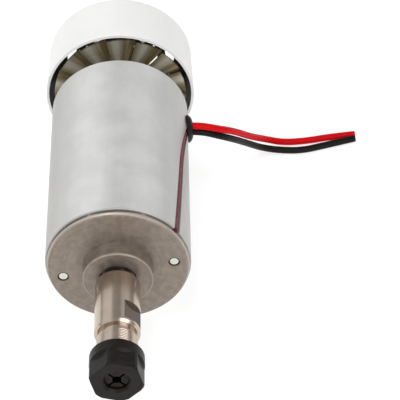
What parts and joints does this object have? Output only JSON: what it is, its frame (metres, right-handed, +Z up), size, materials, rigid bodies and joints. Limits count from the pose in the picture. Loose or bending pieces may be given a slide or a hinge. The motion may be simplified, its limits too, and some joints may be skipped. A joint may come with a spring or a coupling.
{
  "type": "motor spindle",
  "caption": "Air-cooled brushed motor spindle: steel barrel, nose bearing boss, collet chuck with hexagon clamping nut, shaft fan under a moulded cover, and two leads from a side grommet.",
  "frame": {"origin": "on the spindle axis, in the plane of the front bell's face (the barrel, boss and collet share that axis)", "axes": "+Y along the spindle axis from nose to fan cover, +X towards the leads, +Z up as it lies"},
  "size_m": [0.1223, 0.1788, 0.0574],
  "materials": {
    "zinc_steel": "zinc-plated drawn steel, satin",
    "can_steel": "drawn steel, satin",
    "ferrite": "sintered ferrite, dull",
    "cast_zinc": "die-cast, brown-grey, satin",
    "bolt_steel": "zinc-plated",
    "spring_steel": "spring wire",
    "bearing_steel": "ground bearing steel",
    "shield_steel": "pressed steel",
    "laminate": "phenolic laminate",
    "brass": "brass strip",
    "white_plastic": "moulded, satin white",
    "black_rubber": "moulded rubber, satin black",
    "red_insulation": "extruded, red",
    "black_insulation": "extruded, black",
    "shaft_steel": "ground steel",
    "chuck_steel": "turned steel, warm bright",
    "lamination_steel": "stacked sheet steel",
    "winding": "enamelled copper, varnished",
    "phenolic": "moulded phenolic",
    "copper": "copper, turned",
    "fan_metal": "stamped sheet, bronze-grey brushed",
    "carbon": "carbon-graphite, dull",
    "collet_steel": "ground spring steel",
    "black_oxide": "black oxide steel, satin"
  },
  "bodies": {
    "motor": {"flux_sleeve": "zinc_steel", "motor_can": "can_steel", "field_magnets": "ferrite", "front_bell": "cast_zinc", "rear_bell": "cast_zinc", "through_bolts": "bolt_steel", "bolt_washers": "bolt_steel", "bearing_wave_washer": "spring_steel", "front_bearing_outer_ring": "bearing_steel", "front_bearing_shields": "shield_steel", "rear_bearing_outer_ring": "bearing_steel", "rear_bearing_shields": "shield_steel", "brush_card": "laminate", "brush_holders": "brass", "brush_terminals": "brass", "upper_brush_spring": "spring_steel", "lower_brush_spring": "spring_steel", "fan_cover": "white_plastic", "fan_cover_screws": "bolt_steel", "lead_grommet": "black_rubber", "red_lead_in_slot": "red_insulation", "red_lead": "red_insulation", "black_lead": "black_insulation"},
    "rotor": {"spindle_shaft": "shaft_steel", "collet_chuck": "chuck_steel", "armature_core": "lamination_steel", "armature_windings": "winding", "commutator_hub": "phenolic", "commutator_bars": "copper", "shaft_spacers": "can_steel", "front_bearing_inner_ring": "bearing_steel", "rear_bearing_inner_ring": "bearing_steel", "cooling_fan": "fan_metal", "fan_bush": "can_steel", "fan_washer": "bolt_steel", "fan_nut": "bolt_steel"},
    "front_ball_set": {"front_bearing_balls": "bearing_steel", "front_bearing_cage": "can_steel"},
    "rear_ball_set": {"rear_bearing_balls": "bearing_steel", "rear_bearing_cage": "can_steel"},
    "upper_brush": {"upper_brush": "carbon"},
    "lower_brush": {"lower_brush": "carbon"},
    "collet": {"collet": "collet_steel"},
    "collet_nut": {"collet_nut": "black_oxide"}
  },
  "joints": [
    {"name": "spindle_spin", "type": "hinge", "parent": "motor", "child": "rotor", "pos_m": [0, 0, 0], "axis": [0, 1, 0], "continuous": true},
    {"name": "front_ball_orbit", "type": "hinge", "parent": "motor", "child": "front_ball_set", "pos_m": [0, -0.0015, 0], "axis": [0, 1, 0], "continuous": true},
    {"name": "rear_ball_orbit", "type": "hinge", "parent": "motor", "child": "rear_ball_set", "pos_m": [0, 0.0889, 0], "axis": [0, 1, 0], "continuous": true},
    {"name": "upper_brush_slide", "type": "slide", "parent": "motor", "child": "upper_brush", "axis": [0, 0, 1], "range_m": [0, 0.0025], "stiffness_N_per_m": 150, "springref_m": -0.006, "deforming": ["upper_brush_spring"]},
    {"name": "lower_brush_slide", "type": "slide", "parent": "motor", "child": "lower_brush", "axis": [0, 0, -1], "range_m": [0, 0.0025], "stiffness_N_per_m": 150, "springref_m": -0.006, "deforming": ["lower_brush_spring"]},
    {"name": "collet_slide", "type": "slide", "parent": "rotor", "child": "collet", "axis": [0, -1, 0], "range_m": [0, 0.006]},
    {"name": "nut_turn", "type": "hinge", "parent": "collet", "child": "collet_nut", "pos_m": [0, -0.0499, 0], "axis": [0, -1, 0], "range_deg": [0, 2880.5]}
  ],
  "couplings": [
    {"joint": "front_ball_orbit", "follows": "spindle_spin", "ratio": 0.36887},
    {"joint": "rear_ball_orbit", "follows": "spindle_spin", "ratio": 0.36887},
    {"joint": "nut_turn", "follows": "collet_slide", "rad_per_m": 8377.6}
  ]
}
